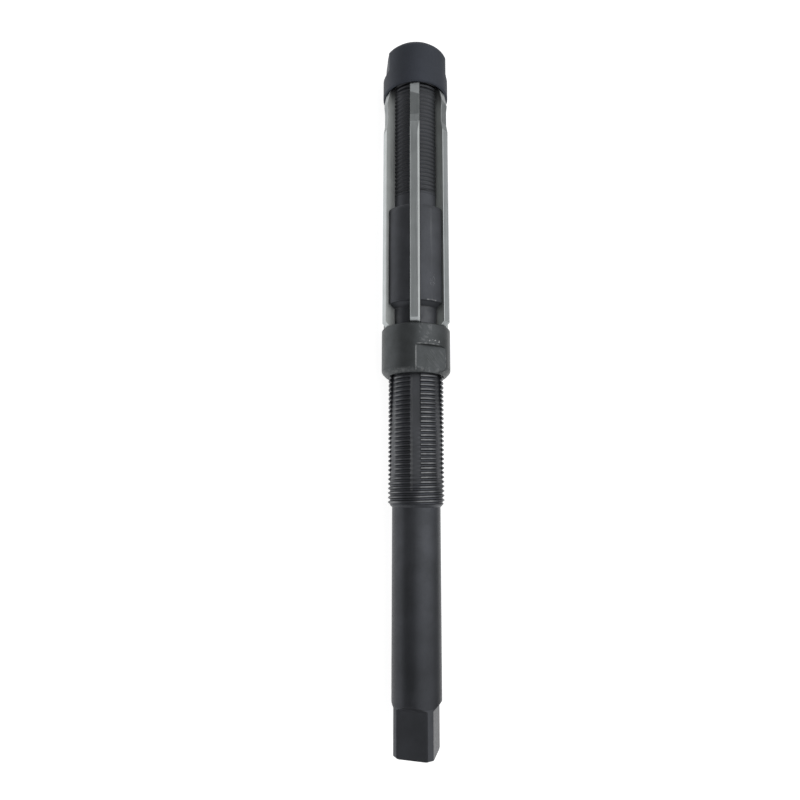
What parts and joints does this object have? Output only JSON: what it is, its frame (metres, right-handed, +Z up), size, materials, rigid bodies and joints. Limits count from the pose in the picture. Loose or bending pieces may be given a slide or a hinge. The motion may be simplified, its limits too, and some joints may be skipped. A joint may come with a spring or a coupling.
{
  "type": "adjustable hand reamer",
  "caption": "Adjustable hand reamer with ground blades in sloped slots, held between two threaded nuts, and a square on the shank for a tap wrench.",
  "frame": {"origin": "on the axis, where the full round of the shank starts behind the driving square", "axes": "+X along the axis towards the pilot end, +Z up with the reamer lying on its side"},
  "size_m": [0.162, 0.017, 0.016],
  "materials": {
    "oxide_body": "black oxide on turned and milled alloy steel, semi-gloss",
    "oxide_nut": "black oxide on turned steel, satin, scuffed",
    "ground_blade": "ground high-speed steel, fine grinding lines"
  },
  "bodies": {
    "body": {"reamer_body": "oxide_body"},
    "lower_nut": {"lower_nut": "oxide_nut"},
    "upper_nut": {"upper_nut": "oxide_nut"},
    "blade_1": {"blade_1": "ground_blade"},
    "blade_2": {"blade_2": "ground_blade"},
    "blade_3": {"blade_3": "ground_blade"},
    "blade_4": {"blade_4": "ground_blade"},
    "blade_5": {"blade_5": "ground_blade"},
    "blade_6": {"blade_6": "ground_blade"}
  },
  "joints": [
    {"name": "lower_nut_travel", "type": "slide", "parent": "body", "child": "lower_nut", "axis": [-1, 0, 0], "range_m": [0, 0.027]},
    {"name": "upper_nut_travel", "type": "slide", "parent": "body", "child": "upper_nut", "axis": [-1, 0, 0], "range_m": [0, 0.02519]},
    {"name": "blade_1_slide", "type": "slide", "parent": "body", "child": "blade_1", "axis": [-0.9994, 0.0174, 0.0302], "range_m": [0, 0.02612]},
    {"name": "blade_2_slide", "type": "slide", "parent": "body", "child": "blade_2", "axis": [-0.9994, -0.0174, 0.0302], "range_m": [0, 0.02612]},
    {"name": "blade_3_slide", "type": "slide", "parent": "body", "child": "blade_3", "axis": [-0.9994, -0.0349, 0], "range_m": [0, 0.02612]},
    {"name": "blade_4_slide", "type": "slide", "parent": "body", "child": "blade_4", "axis": [-0.9994, -0.0174, -0.0302], "range_m": [0, 0.02612]},
    {"name": "blade_5_slide", "type": "slide", "parent": "body", "child": "blade_5", "axis": [-0.9994, 0.0174, -0.0302], "range_m": [0, 0.02612]},
    {"name": "blade_6_slide", "type": "slide", "parent": "body", "child": "blade_6", "axis": [-0.9994, 0.0349, 0], "range_m": [0, 0.02612]}
  ],
  "couplings": [
    {"joint": "upper_nut_travel", "follows": "lower_nut_travel", "ratio": 0.93252},
    {"joint": "blade_1_slide", "follows": "lower_nut_travel", "ratio": 0.96685},
    {"joint": "blade_2_slide", "follows": "lower_nut_travel", "ratio": 0.96685},
    {"joint": "blade_3_slide", "follows": "lower_nut_travel", "ratio": 0.96685},
    {"joint": "blade_4_slide", "follows": "lower_nut_travel", "ratio": 0.96685},
    {"joint": "blade_5_slide", "follows": "lower_nut_travel", "ratio": 0.96685},
    {"joint": "blade_6_slide", "follows": "lower_nut_travel", "ratio": 0.96685}
  ]
}
